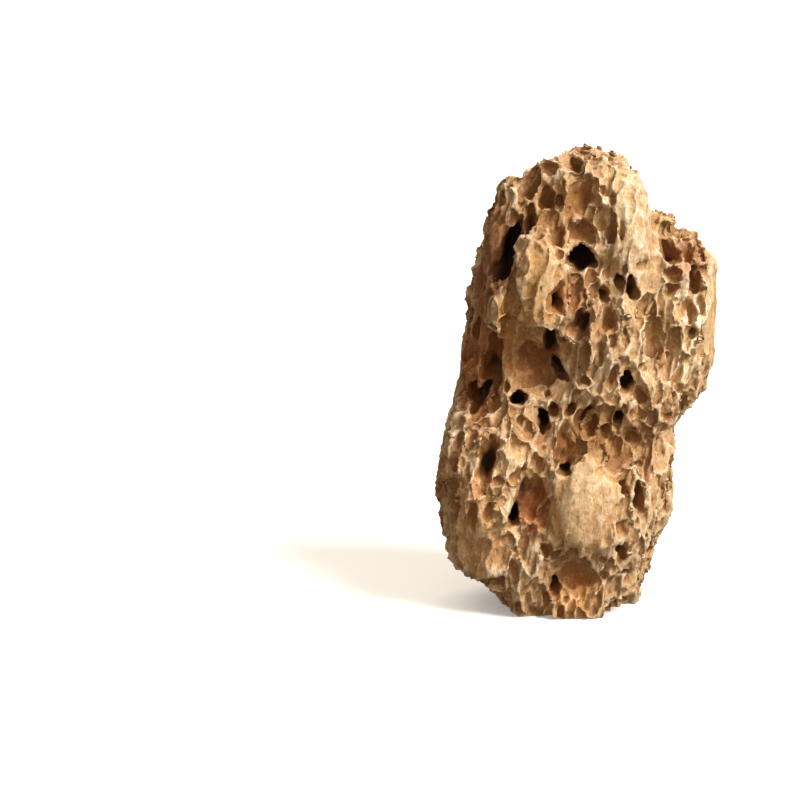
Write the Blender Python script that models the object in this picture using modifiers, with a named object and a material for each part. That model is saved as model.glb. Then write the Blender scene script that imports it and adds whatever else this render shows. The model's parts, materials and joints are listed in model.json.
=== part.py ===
"""A tall weathered clay rock for an aquarium, eaten into pockets and sharp crests by water.

The rock is one stone, so it is one object. It stands upright on a flat broken base, with its show
face towards -Y. The origin is on the ground, under the middle of the stone.

The stone is made in the order in which nature made it: a boulder with its lumps, then the hollows
and pockets that were eaten out of it, then the flat break that it stands on.
"""

import math
import random
from typing import NamedTuple

import bmesh
import bpy
from mathutils import Matrix, Vector, noise
from mathutils.bvhtree import BVHTree

MM = 0.001
NAME = "rock"

# --- The boulder ----------------------------------------------------------------------------------

# How far the boulder reaches at each height, in mm: height, left, right, front, back.
SECTIONS = (
    (-14, -38, 28, -38, 34),
    (0, -46, 36, -46, 42),
    (5, -50, 40, -49, 44),
    (10, -57, 42, -51, 46),
    (16, -66, 43, -53, 48),
    (24, -75, 45, -55, 50),
    (45, -82, 50, -57, 53),
    (70, -84, 54, -57, 54),
    (84, -84, 57, -56, 54),
    (96, -80, 57, -54, 54),
    (108, -78, 57, -52, 53),
    (118, -74, 65, -51, 53),
    (130, -71, 75, -50, 52),
    (150, -69, 81, -49, 51),
    (180, -60, 80, -48, 48),
    (206, -57, 79, -45, 44),
    (216, -56, 70, -42, 41),
    (222, -55, 57, -40, 39),
    (228, -54, 48, -38, 37),
    (237, -51, 41, -36, 34),
    (243, -44, 37, -33, 31),
    (249, -39, 32, -31, 28),
    (256, -32, 31, -28, 24),
    (262, -22, 27, -25, 20),
    (268, -12, 21, -20, 15),
    (270, -6, 15, -13, 9),
)
SQUARENESS = 2.7  # exponent of a section's outline: 2 is an ellipse, more is boxier
RING_POINTS = 72
RINGS = 90

# Lumps that stand out of the boulder, in mm: centre x, y, z, then reach in x, y, z.
LUMPS = (
    (6, -15, 240, 27, 25, 28),  # crown
    (24, -24, 196, 17, 25, 64),  # slab down the right of the crown
    (53, -12, 183, 25, 36, 41),  # right shoulder
    (-24, -34, 198, 19, 29, 34),  # slab on the upper left
    (-46, -6, 200, 13, 26, 38),  # shaded face beside the slab
    (-47, -36, 184, 12, 18, 20),  # shelf under the shaded face
    (-22, -14, 257, 9, 11, 9),  # small peaks of the outline
    (-38, -10, 243, 9, 12, 10),
    (49, -14, 234, 8, 15, 10),
    (64, -8, 210, 9, 15, 11),
    (12, -32, 158, 29, 27, 42),  # middle column
    (34, -28, 128, 22, 25, 30),  # its foot on the right
    (-48, -27, 82, 33, 35, 44),  # lower left
    (8, -34, 64, 36, 31, 44),  # smooth plate
    (-6, -26, 13, 40, 27, 21),  # foot
    (28, -12, 78, 27, 36, 50),  # lower right
    (-44, 8, 163, 21, 36, 56),  # left flank
    (16, 26, 148, 48, 30, 66),  # back
    (-28, 24, 70, 42, 30, 50),  # back of the foot
)
# Where broad pieces of the boulder broke or wore away, in the same terms as the lumps.
BREAKS = (
    (-34, -62, 150, 31, 26, 24),  # recess under the slab on the upper left
    (-56, -58, 144, 14, 27, 30),  # its shaded end
    (46, -54, 0, 32, 36, 15),  # right front corner of the base
    (-66, -50, 4, 24, 40, 15),  # left front corner of the base
    (58, -30, 246, 22, 60, 15),  # step between crown and shoulder
)
BOXINESS = 0.8  # 1 makes a lump or a break a plain oval, less makes it boxier
BOULDER_VOXEL = 1.9 * MM  # grain of the mesh that fuses the lumps to the boulder
CRAG = 3.2 * MM  # how far the skin is worn in and out over broad, upright crags
CRAG_WIDTH = 17 * MM
CRAG_STRETCH = 2.6  # crags are this many times as tall as they are wide
CRAG_LEFT = 0.4  # share of the crags that stays on the barest skin
CRAG_LAYERS = (0.7, 2.1, 4)  # each finer layer's falling-off, how much finer it is, and the count
SCOOP = 3.2 * MM  # depth of the shallow scoops that cover the skin, between sharp crests
SCOOP_WIDTH = 11 * MM
SCOOP_STRETCH = 2.3
SCOOP_WANDER = 0.35  # how far scoops stray from an even spread, as a share of their width
SCOOP_DETAIL = 1.3  # how much finer that straying is than the scoops
GRAIN_LEAN = 0.16  # how far the stone's grain leans to the right, per unit of height
# Patches that stay barer of crags and scoops, in the same terms as the lumps, and then the share
# of the crags and scoops that is left in the middle.
BARE = (
    (1, -60, 70, 20, 26, 30, 0.12),  # smooth plate
    (30, -44, 225, 20, 34, 42, 0.45),  # slab down the right of the crown
    (84, -16, 176, 15, 40, 46, 0.25),  # face of the right shoulder
    (-26, -60, 204, 15, 30, 24, 0.45),  # slab on the upper left
    (-54, -20, 200, 12, 26, 40, 0.5),  # shaded face
    (-34, -46, 150, 30, 24, 22, 0.35),  # recess
    (-60, -44, 42, 20, 30, 28, 0.45),  # fluted skin low on the left
    (8, 56, 175, 30, 22, 50, 0.35),  # broad face of the back
    (-38, 48, 62, 26, 24, 32, 0.4),  # low on the back
    (60, 4, 60, 22, 36, 30, 0.45),  # right side of the foot
    (-66, 26, 130, 20, 26, 40, 0.45),  # left side
)
BARE_EDGE = (0.6, 1.2)  # where a bare patch starts to end and where it ends, as shares of its reach
CREST = 0.32  # width of the slope from a crest to a scoop's floor, as a share of a scoop's width

# --- The pockets ----------------------------------------------------------------------------------

# An eye in front of the stone. The pockets of the show face are set out as it sees them, on a
# picture plane through the origin that is square to its line of sight.
EYE = Vector((-105, -1540, 448)) * MM
SIGHT_TILT = math.radians(12)

# Pockets of the show face, in mm: across, up, width, height, lean to the right in degrees, depth.
CROWN = (
    (-1, 260, 14, 9, 30, 10),
    (-26, 248, 6, 17, 20, 12),
    (-16, 257, 8, 8, 0, 6),
    (-17, 239, 9, 17, 5, 8),
    (6, 243, 18, 29, 6, 10),
    (-29, 224, 9, 20, 4, 12),
    (-22, 217, 3, 7, 0, 6),
    (-8, 220, 11, 24, 18, 14),
    (5, 219, 16, 14, 5, 6),
    (17, 243, 4, 7, 0, 8),
    (22, 238, 4, 8, 0, 6),
    (22, 222, 7, 27, 0, 7),
    (28, 222, 3, 19, 0, 4),
    (48, 232, 4, 12, -15, 5),
)
UPPER_FRONT = (
    (4, 203, 16, 15, 10, 24),
    (-41, 206, 13, 42, 20, 18),
    (-34, 193, 6, 8, 10, 3),
    (-28, 184, 7, 11, 15, 3),
    (-9, 206, 4, 10, 10, 4),
    (26, 188, 7, 10, 0, 15),
    (34, 184, 7, 18, -8, 17),
    (30, 196, 3, 8, 0, 5),
    (17, 181, 6, 9, -10, 16),
    (10, 193, 5, 13, 15, 6),
    (41, 198, 8, 7, 0, 4),
    (19, 166, 10, 21, 8, 10),
    (8, 168, 7, 12, 10, 6),
    (2, 162, 12, 18, 20, 16),
    (3, 145, 10, 20, 5, 9),
    (15, 146, 7, 18, 0, 6),
    (31, 164, 3, 16, 0, 5),
    (-9, 174, 6, 12, 0, 20),
    (-8, 180, 15, 22, 15, 9),
    (-15, 152, 8, 20, 5, 16),
    (-11, 137, 7, 18, -35, 15),
)
RIGHT_SHOULDER = (
    (56, 209, 10, 19, -15, 14),
    (68, 209, 7, 15, 0, 12),
    (75, 210, 5, 10, 0, 6),
    (59, 192, 10, 12, -20, 8),
    (58, 183, 9, 8, -40, 8),
    (73, 189, 9, 22, 5, 14),
    (52, 212, 2, 15, 0, 5),
    (47, 153, 12, 31, 0, 4),
    (70, 170, 5, 14, 0, 7),
    (71, 158, 3, 9, 0, 8),
    (74, 153, 2, 13, 0, 4),
    (60, 156, 6, 16, 0, 4),
    (64, 124, 4, 8, 0, 6),
    (58, 107, 8, 7, 0, 7),
)
WAIST = (
    (32, 127, 9, 15, 0, 20),
    (33, 128, 13, 19, 0, 6),
    (23, 130, 7, 16, 10, 6),
    (40, 119, 8, 13, -20, 8),
    (5, 128, 8, 6, 0, 8),
    (26, 107, 5, 8, 20, 15),
    (6, 109, 3, 13, 30, 14),
    (-3, 111, 5, 9, 15, 13),
    (18, 98, 7, 11, 0, 7),
    (10, 103, 7, 17, 15, 7),
    (34, 95, 5, 6, 0, 5),
    (38, 110, 10, 11, 0, 4),
    (-19, 105, 7, 17, -10, 18),
    (-13, 111, 6, 9, 10, 11),
    (-17, 122, 4, 6, 0, 6),
    (-32, 105, 5, 7, 0, 4),
)
RECESS = (
    (-22, 138, 25, 28, -20, 9),
    (-49, 138, 14, 30, 0, 10),
    (-40, 164, 12, 8, 0, 8),
    (-34, 119, 9, 9, 0, 22),
    (-41, 126, 3, 8, 0, 7),
    (-64, 122, 7, 17, 25, 20),
    (-56, 120, 7, 25, 35, 20),
    (-66, 148, 10, 24, 10, 5),
)
LOWER_FRONT = (
    (-52, 85, 11, 35, 12, 15),
    (-62, 95, 4, 14, 10, 4),
    (-70, 94, 4, 13, 10, 5),
    (-74, 80, 8, 16, 5, 6),
    (-46, 69, 8, 7, 20, 4),
    (-27, 59, 19, 35, 15, 13),
    (-37, 46, 7, 14, 5, 22),
    (-33, 73, 5, 16, 40, 8),
    (-7, 76, 8, 8, 0, 18),
    (-5, 88, 13, 26, 0, 7),
    (-62, 47, 6, 23, 5, 5),
    (-52, 50, 5, 14, 10, 6),
    (25, 81, 11, 11, 10, 7),
    (39, 58, 7, 20, -5, 13),
    (38, 79, 4, 4, 0, 5),
    (28, 26, 6, 12, -15, 9),
    (30, 40, 10, 14, 0, 5),
    (38, 43, 3, 8, 0, 5),
    (46, 29, 6, 13, 0, 10),
    (16, 21, 4, 5, 0, 5),
)
FOOT = (
    (-17, 26, 6, 12, -20, 8),
    (-12, 23, 5, 7, 30, 8),
    (-1, 13, 30, 31, 0, 7),
    (-12, 6, 5, 12, 0, 15),
    (-37, 14, 5, 16, 0, 5),
    (-51, 7, 17, 8, -20, 8),
    (-74, 31, 10, 13, 0, 5),
    (29, 14, 10, 4, 0, 6),
)
SHOW_FACE = CROWN + UPPER_FRONT + RIGHT_SHOULDER + WAIST + RECESS + LOWER_FRONT + FOOT
SHOW_SIZE = 1.15  # a cutter's size over its pocket's, because the stone is faceted
SHOW_DEPTH = 1.25
# A pocket goes in along the line of sight by this much, against 1 square to the skin.
ALONG_SIGHT = 1.8
SMALLEST = 5  # mm: a narrower pocket is left to the finish of the surface

DIVE = math.radians(14)  # a pocket's foot dips into the stone by this much, behind its lower lip
TAPER = 0.25  # a pocket is narrower at its top by this share
RAGGED = 0.2  # how far a pocket strays from an oval, as a share of its size
RAGGED_DETAIL = 1.4  # how fine that straying is
NEXT_SHAPE = 3.7  # a step through the noise that gives the next pocket a shape of its own

# Pockets of the other sides, scattered in the same habit.
SIDE_POCKETS = 110
SIDE_WIDTH = (5, 18)  # mm, and then a share of it
SIDE_SHARE = (0.5, 1)
SIDE_HEIGHTS = (6, 290)  # mm: the highest ones are aimed down at the crown
SIDE_TALL = (1.3, 2.6)  # height over width
SIDE_DEPTH = (0.5, 1.0)  # depth over width
SIDE_LEAN = (-5, 22)
SIDE_SPACING = 0.66  # how close two pockets may come, as a share of their mean height
SIDE_BAREST = 0.6  # they need at least this share of crags and scoops round them
SHOW_FACE_SPREAD = math.radians(52)  # half the angle that the show face's own pockets cover
FAR_OUT = 500 * MM  # they are aimed at the stone's axis from this far away
CROWN_FROM = 200 * MM  # and, above this height, from higher up
FROM_ABOVE = 120 * MM
SEED = 7  # for the scatter of these pockets and for the noise that all the shapes stray by

# --- The finished solid ---------------------------------------------------------------------------

FINE_VOXEL = 1.5 * MM
TRIANGLES = 9900
GROUND = 400 * MM  # size of the block that cuts the base flat
CLAY = (0.50, 0.33, 0.16, 1)
CLAY_ROUGHNESS = 0.92


class Pocket(NamedTuple):
    """A pocket by where it opens on the skin, the way that it goes in, and its size in metres."""

    mouth: Vector
    inward: Vector
    width: float
    height: float
    lean: float
    depth: float


def clear_scene():
    for obj in list(bpy.data.objects):
        bpy.data.objects.remove(obj, do_unlink=True)


def new_object(name, bm, collection):
    mesh = bpy.data.meshes.new(name)
    bm.to_mesh(mesh)
    bm.free()
    obj = bpy.data.objects.new(name, mesh)
    collection.objects.link(obj)
    return obj


def new_collection(name):
    collection = bpy.data.collections.new(name)
    bpy.context.scene.collection.children.link(collection)
    return collection


def evaluated_bmesh(obj):
    """The object's mesh with its modifiers, as a bmesh."""
    graph = bpy.context.evaluated_depsgraph_get()
    bm = bmesh.new()
    bm.from_object(obj, graph)
    return bm


def section_at(height):
    """How far the boulder reaches to the left, right, front and back at a height, in mm."""
    below = max(s for s in SECTIONS if s[0] <= height)
    above = min((s for s in SECTIONS if s[0] > height), default=below)
    share = (height - below[0]) / max(above[0] - below[0], 1)
    return [low + (high - low) * share for low, high in zip(below[1:], above[1:])]


def boulder_point(x, y, z):
    """Where a point of a cylinder, of radius 1 and from -0.5 to 0.5, lies on the boulder."""
    low, high = SECTIONS[0][0], SECTIONS[-1][0]
    height = low + (high - low) * (z + 0.5)
    left, right, front, back = section_at(height)
    reach = (abs(x) ** SQUARENESS + abs(y) ** SQUARENESS) ** (-1 / SQUARENESS) if x or y else 0
    return Vector((
        (left + right) / 2 + (right - left) / 2 * x * reach,
        (front + back) / 2 + (back - front) / 2 * y * reach,
        height,
    )) * MM


def add_lump(bm, x, y, z, wide, deep, tall):
    """A boxy oval, its centre and reach in mm."""
    for vert in bmesh.ops.create_icosphere(bm, subdivisions=4, radius=1)["verts"]:
        boxy = [math.copysign(abs(part) ** BOXINESS, part) for part in vert.co]
        vert.co = Vector((x + wide * boxy[0], y + deep * boxy[1], z + tall * boxy[2])) * MM


def make_boulder(collection):
    bm = bmesh.new()
    bmesh.ops.create_cone(
        bm, cap_ends=True, segments=RING_POINTS, radius1=1, radius2=1, depth=1)
    upright = [e for e in bm.edges if abs(e.verts[0].co.z - e.verts[1].co.z) > 0.5]
    bmesh.ops.subdivide_edges(bm, edges=upright, cuts=RINGS)
    for vert in bm.verts:
        vert.co = boulder_point(*vert.co)
    for lump in LUMPS:
        add_lump(bm, *lump)
    return new_object("boulder", bm, collection)


def smoothstep(share):
    return share * share * (3 - 2 * share)


def grain(point, width, stretch):
    """A point in a space where the stone's upright, leaning grain is a unit wide and a unit tall."""
    return Vector((point.x - GRAIN_LEAN * point.z, point.y, point.z / stretch)) / width


def roughness_at(point):
    """The share of the crags and scoops that is left at a point: 1 away from the bare patches."""
    start, end = BARE_EDGE
    rough = 1.0
    for x, y, z, wide, deep, tall, left in BARE:
        away = point / MM - Vector((x, y, z))
        nearness = Vector((away.x / wide, away.y / deep, away.z / tall)).length
        share = min(max((nearness - start) / (end - start), 0), 1)
        rough = min(rough, left + (1 - left) * smoothstep(share))
    return rough


def weather(bm):
    """Wears the skin in and out over broad crags, and scoops it out between sharp crests."""
    bm.normal_update()
    moves = []
    for vert in bm.verts:
        rough = roughness_at(vert.co)
        crag = noise.fractal(grain(vert.co, CRAG_WIDTH, CRAG_STRETCH), *CRAG_LAYERS) * CRAG
        cell = grain(vert.co, SCOOP_WIDTH, SCOOP_STRETCH)
        cell += noise.noise_vector(cell * SCOOP_DETAIL) * SCOOP_WANDER
        nearest, second, _, _ = noise.voronoi(cell)[0]
        scoop = smoothstep(min((second - nearest) / CREST, 1)) * SCOOP
        crag *= CRAG_LEFT + (1 - CRAG_LEFT) * rough
        moves.append((vert, vert.normal * (crag - scoop * rough)))
    for vert, move in moves:
        vert.co += move


def from_eye(across, up):
    """The direction in which the eye sees a point of its picture."""
    point = Vector((across, up * math.sin(SIGHT_TILT), up * math.cos(SIGHT_TILT))) * MM
    return (point - EYE).normalized()


def show_pockets(tree):
    for across, up, width, height, lean, depth in SHOW_FACE:
        if min(width, height) < SMALLEST:
            continue
        sight = from_eye(across, up)
        mouth, normal, _, _ = tree.ray_cast(EYE, sight)
        if mouth is None:
            continue
        inward = (sight * ALONG_SIGHT - normal).normalized()
        width, height, depth = width * SHOW_SIZE, height * SHOW_SIZE, depth * SHOW_DEPTH
        yield Pocket(mouth, inward, width * MM, height * MM, math.radians(lean), depth * MM)


def side_pockets(tree):
    """Pockets all round the stone, but for the show face, where none comes too near another."""
    dice = random.Random(SEED)
    placed = []
    while len(placed) < SIDE_POCKETS:
        bearing = dice.uniform(-math.pi, math.pi)
        height = dice.uniform(*SIDE_HEIGHTS) * MM
        width = dice.uniform(*SIDE_WIDTH) * dice.uniform(*SIDE_SHARE) * MM
        tall = width * dice.uniform(*SIDE_TALL)
        depth = width * dice.uniform(*SIDE_DEPTH)
        lean = math.radians(dice.uniform(*SIDE_LEAN))
        if abs(bearing) < SHOW_FACE_SPREAD:
            continue
        outward = Vector((math.sin(bearing), -math.cos(bearing), 0))
        rise = FROM_ABOVE if height > CROWN_FROM else 0
        start = outward * FAR_OUT + Vector((0, 0, height + rise))
        target = Vector((0, 0, height))
        mouth, normal, _, _ = tree.ray_cast(start, (target - start).normalized())
        if mouth is None or roughness_at(mouth) < SIDE_BAREST:
            continue
        if any((mouth - other.mouth).length < SIDE_SPACING * (tall + other.height) / 2
               for other in placed):
            continue
        placed.append(Pocket(mouth, -normal, width, tall, lean, depth))
    return placed


def pocket_cutter(number, pocket, collection):
    """A ragged oval, narrow at the top, whose foot dips into the stone."""
    inward = pocket.inward
    side = inward.cross(Vector((0, 0, 1))).normalized()
    upright = side.cross(inward).normalized()
    turn = Matrix.Rotation(pocket.lean, 3, inward)
    side, upright = turn @ side, turn @ upright
    upright = (upright * math.cos(DIVE) - inward * math.sin(DIVE)).normalized()
    through = upright.cross(side)
    shape = Vector((number * NEXT_SHAPE, 0, 0))
    bm = bmesh.new()
    bmesh.ops.create_icosphere(bm, subdivisions=3, radius=1)
    for vert in bm.verts:
        unit = vert.co * (1 + RAGGED * noise.noise(vert.co * RAGGED_DETAIL + shape))
        vert.co = (
            pocket.mouth
            + side * unit.x * (1 - TAPER * unit.z) * pocket.width / 2
            + through * unit.y * pocket.depth
            + upright * unit.z * pocket.height / 2
        )
    bmesh.ops.recalc_face_normals(bm, faces=bm.faces)
    hide(new_object(f"pocket_{number}", bm, collection))


def keep_largest_island(bm):
    """Removes crumbs that the pockets have cut loose, and any hollow with no way out."""
    islands, seen = [], set()
    for start in bm.verts:
        if start in seen:
            continue
        seen.add(start)
        island, edge_of_island = [start], [start]
        while edge_of_island:
            vert = edge_of_island.pop()
            for edge in vert.link_edges:
                other = edge.other_vert(vert)
                if other not in seen:
                    seen.add(other)
                    island.append(other)
                    edge_of_island.append(other)
        islands.append(island)
    for island in sorted(islands, key=len)[:-1]:
        bmesh.ops.delete(bm, geom=island, context="VERTS")


def clay_material():
    material = bpy.data.materials.new("weathered_clay")
    material.use_nodes = True
    shader = material.node_tree.nodes["Principled BSDF"]
    shader.inputs["Base Color"].default_value = CLAY
    shader.inputs["Roughness"].default_value = CLAY_ROUGHNESS
    shader.inputs["Metallic"].default_value = 0
    return material


def cut(obj, name, collection):
    """A live cut of everything in a collection out of an object."""
    carve = obj.modifiers.new(name, "BOOLEAN")
    carve.operand_type = "COLLECTION"
    carve.collection = collection
    carve.solver = "EXACT"


def make_breaks(collection):
    for number, piece in enumerate(BREAKS):
        bm = bmesh.new()
        add_lump(bm, *piece)
        hide(new_object(f"break_{number}", bm, collection))


def hide(cutter):
    cutter.hide_render = True
    cutter.display_type = "WIRE"


def main():
    clear_scene()
    noise.seed_set(SEED)
    stone = new_collection("aquarium_rock")
    breaks = new_collection("breaks")
    cutters = new_collection("cutters")

    boulder = make_boulder(stone)
    fuse_lumps = boulder.modifiers.new("fuse_lumps", "REMESH")
    fuse_lumps.mode = "VOXEL"
    fuse_lumps.voxel_size = BOULDER_VOXEL
    make_breaks(breaks)
    cut(boulder, "breaks", breaks)
    fuse = boulder.modifiers.new("fuse_breaks", "REMESH")
    fuse.mode = "VOXEL"
    fuse.voxel_size = BOULDER_VOXEL
    bm = evaluated_bmesh(boulder)
    weather(bm)
    tree = BVHTree.FromBMesh(bm)
    bpy.data.objects.remove(boulder)
    rock = new_object(NAME, bm, stone)

    for number, pocket in enumerate([*show_pockets(tree), *side_pockets(tree)]):
        pocket_cutter(number, pocket, cutters)
    cut(rock, "pockets", cutters)
    even = rock.modifiers.new("even_grain", "REMESH")
    even.mode = "VOXEL"
    even.voxel_size = FINE_VOXEL
    bm = evaluated_bmesh(rock)
    keep_largest_island(bm)
    rock.modifiers.clear()
    bm.to_mesh(rock.data)
    bm.free()
    rock.data.materials.append(clay_material())
    faces = sum(len(p.vertices) - 2 for p in rock.data.polygons)
    plain = rock.modifiers.new("fewer_faces", "DECIMATE")
    plain.ratio = TRIANGLES / faces

    bm = bmesh.new()
    bmesh.ops.create_cube(bm, size=GROUND, matrix=Matrix.Translation((0, 0, -GROUND / 2)))
    ground = new_object("ground", bm, bpy.context.scene.collection)
    hide(ground)
    flat = rock.modifiers.new("flat_base", "BOOLEAN")
    flat.object = ground


main()
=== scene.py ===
"""The look of a tall weathered clay rock for an aquarium, laid out as a Blender add-on.

The stone is carved in the order in which nature made it: a boulder with its lumps, the broad pieces
that broke off, the scoops and crags of its skin, the pockets that water ate out, and last the flat
break that it stands on. Its clay is coloured by how far each point lies in from the skin and by how
sharply the surface turns there.
"""

import json
import math
import random
from typing import NamedTuple

import bmesh
import bpy
import numpy as np
from bpy.props import FloatProperty, FloatVectorProperty, IntProperty, PointerProperty
from mathutils import Matrix, Vector, noise
from mathutils.bvhtree import BVHTree

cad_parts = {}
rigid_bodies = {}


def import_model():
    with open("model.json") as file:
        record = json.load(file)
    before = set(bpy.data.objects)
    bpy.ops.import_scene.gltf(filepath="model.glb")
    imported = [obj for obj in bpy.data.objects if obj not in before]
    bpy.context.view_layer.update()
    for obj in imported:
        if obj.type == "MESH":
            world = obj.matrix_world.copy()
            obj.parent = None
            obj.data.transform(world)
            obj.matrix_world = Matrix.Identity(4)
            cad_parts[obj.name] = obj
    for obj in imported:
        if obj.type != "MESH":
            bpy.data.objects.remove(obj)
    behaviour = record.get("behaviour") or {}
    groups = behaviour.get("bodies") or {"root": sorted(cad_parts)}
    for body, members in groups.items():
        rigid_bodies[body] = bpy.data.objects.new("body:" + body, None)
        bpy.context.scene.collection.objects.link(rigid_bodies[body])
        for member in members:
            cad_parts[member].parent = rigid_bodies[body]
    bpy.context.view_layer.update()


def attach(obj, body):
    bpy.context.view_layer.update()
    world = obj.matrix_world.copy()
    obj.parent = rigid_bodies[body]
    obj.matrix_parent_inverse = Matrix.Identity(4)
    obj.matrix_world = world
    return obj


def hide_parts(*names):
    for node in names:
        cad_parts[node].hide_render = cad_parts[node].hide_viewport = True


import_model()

bl_info = {
    "name": "Aquarium Rock",
    "version": (1, 0, 0),
    "blender": (4, 5, 0),
    "location": "View3D > Sidebar > Aquarium Rock",
    "description": "Carves a weathered clay rock full of pockets and sets it on a plain stage",
    "category": "Add Mesh",
}

MM = 0.001
TINY = 1e-9  # keeps a division from failing

# --- The boulder ----------------------------------------------------------------------------------

# How far the boulder reaches at each height, in mm: height, left, right, front, back.
SECTIONS = (
    (-14, -38, 28, -38, 34),
    (0, -46, 36, -46, 42),
    (5, -50, 40, -49, 44),
    (10, -57, 42, -51, 46),
    (16, -66, 43, -53, 48),
    (24, -75, 45, -55, 50),
    (45, -82, 50, -57, 53),
    (70, -84, 54, -57, 54),
    (84, -84, 57, -56, 54),
    (96, -80, 57, -54, 54),
    (108, -78, 57, -52, 53),
    (118, -74, 65, -51, 53),
    (130, -71, 75, -50, 52),
    (150, -69, 81, -49, 51),
    (180, -60, 80, -48, 48),
    (206, -57, 79, -45, 44),
    (216, -56, 70, -42, 41),
    (222, -55, 57, -40, 39),
    (228, -54, 48, -38, 37),
    (237, -51, 41, -36, 34),
    (243, -44, 37, -33, 31),
    (249, -39, 32, -31, 28),
    (256, -32, 31, -28, 24),
    (262, -22, 27, -25, 20),
    (268, -12, 21, -20, 15),
    (270, -6, 15, -13, 9),
)
SQUARENESS = 2.7  # exponent of a section's outline: 2 is an ellipse, more is boxier
RING_POINTS = 72  # points round the cylinder that the boulder is shaped from
RINGS = 90  # rings of points between its ends
HALF_LENGTH = 0.5  # of that cylinder, whose radius is 1
LUMP_FINENESS = 4  # subdivisions of the balls that the lumps and breaks are shaped from

# Lumps that stand out of the boulder, in mm: centre x, y, z, then reach in x, y, z.
LUMPS = (
    (6, -15, 240, 27, 25, 28),  # crown
    (24, -24, 196, 17, 25, 64),  # slab down the right of the crown
    (53, -12, 183, 25, 36, 41),  # right shoulder
    (-24, -34, 198, 19, 29, 34),  # slab on the upper left
    (-46, -6, 200, 13, 26, 38),  # shaded face beside the slab
    (-47, -36, 184, 12, 18, 20),  # shelf under the shaded face
    (-22, -14, 257, 9, 11, 9),  # small peaks of the outline
    (-38, -10, 243, 9, 12, 10),
    (49, -14, 234, 8, 15, 10),
    (64, -8, 210, 9, 15, 11),
    (12, -32, 158, 29, 27, 42),  # middle column
    (34, -28, 128, 22, 25, 30),  # its foot on the right
    (-48, -27, 82, 33, 35, 44),  # lower left
    (8, -34, 64, 36, 31, 44),  # smooth plate
    (-6, -26, 13, 40, 27, 21),  # foot
    (28, -12, 78, 27, 36, 50),  # lower right
    (-44, 8, 163, 21, 36, 56),  # left flank
    (16, 26, 148, 48, 30, 66),  # back
    (-28, 24, 70, 42, 30, 50),  # back of the foot
)
# Where broad pieces of the boulder broke or wore away, in the same terms as the lumps.
BREAKS = (
    (-34, -62, 150, 31, 26, 24),  # recess under the slab on the upper left
    (-56, -58, 144, 14, 27, 30),  # its shaded end
    (46, -54, 0, 32, 36, 15),  # right front corner of the base
    (-66, -50, 4, 24, 40, 15),  # left front corner of the base
    (58, -30, 246, 22, 60, 15),  # step between crown and shoulder
)
BOXINESS = 0.8  # 1 makes a lump or a break a plain oval, less makes it boxier

# --- The skin -------------------------------------------------------------------------------------

CRAG = 3.2 * MM  # how far the skin is worn in and out over broad, upright crags
CRAG_WIDTH = 17 * MM
CRAG_STRETCH = 2.6  # crags are this many times as tall as they are wide
CRAG_LEFT = 0.4  # share of the crags that stays on the barest skin
# How its noise is layered: how fast the layers get weaker and finer, and how many there are.
CRAG_LAYERS = (0.7, 2.1, 4)
GRAIN_LEAN = 0.16  # how far the stone's grain leans to the right, per unit of height
NOISE_SEED = 7  # the noise would else change with the time of day


class Scoops(NamedTuple):
    """Shallow hollows that share the skin between them and leave sharp crests where they meet."""

    depth: float
    width: float
    stretch: float
    crest: float  # width of the slope from a crest to a hollow's floor, as a share of its width
    wander: float  # how far the hollows stray from an even spread, as a share of their width


WANDER_DETAIL = 1.3  # how much finer that straying is than the scoops
BROAD_SCOOPS = Scoops(3.2 * MM, 11 * MM, 2.3, 0.32, 0.35)
SMALL_SCOOPS = Scoops(1.15 * MM, 5.2 * MM, 2.4, 0.45, 0.5)
FINE_SCOOPS = Scoops(0.5 * MM, 2.6 * MM, 2.0, 0.45, 0.5)


class Flutes(NamedTuple):
    """Upright grooves between sharp ribs, which follow the stone's grain."""

    depth: float
    width: float
    stretch: float
    wander: float  # how far a groove strays sideways, as a share of its width


RIB = 0.05  # how rounded the ribs are, against a groove's reach of about 0.4
RIB_TO_FLOOR = 2.4  # how fast a groove reaches its floor, against that reach: it is flat from there
FLUTE_DETAIL = 0.7  # how much finer the straying is than the flutes
BROAD_FLUTES = Flutes(2.0 * MM, 7 * MM, 4.5, 0.9)
FINE_FLUTES = Flutes(0.8 * MM, 3 * MM, 5.0, 1.2)

# Patches that stay barer of crags and scoops, in the same terms as the lumps, and then the share
# of the crags and scoops that is left in the middle.
BARE = (
    (1, -60, 70, 20, 26, 30, 0.12),  # smooth plate
    (30, -44, 225, 20, 34, 42, 0.45),  # slab down the right of the crown
    (84, -16, 176, 15, 40, 46, 0.25),  # face of the right shoulder
    (-26, -60, 204, 15, 30, 24, 0.45),  # slab on the upper left
    (-54, -20, 200, 12, 26, 40, 0.5),  # shaded face
    (-34, -46, 150, 30, 24, 22, 0.35),  # recess
    (-60, -44, 42, 20, 30, 28, 0.45),  # fluted skin low on the left
    (8, 56, 175, 30, 22, 50, 0.35),  # broad face of the back
    (-38, 48, 62, 26, 24, 32, 0.4),  # low on the back
    (60, 4, 60, 22, 36, 30, 0.45),  # right side of the foot
    (-66, 26, 130, 20, 26, 40, 0.45),  # left side
)
BARE_EDGE = (0.6, 1.2)  # where a bare patch starts to end and where it ends, as shares of its reach

# --- The pockets ----------------------------------------------------------------------------------

# An eye in front of the stone. The pockets of the show face are set out as it sees them, on a
# picture plane through the origin that is square to its line of sight.
EYE = Vector((-105, -1540, 448)) * MM
SIGHT_TILT = math.radians(12)

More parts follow.
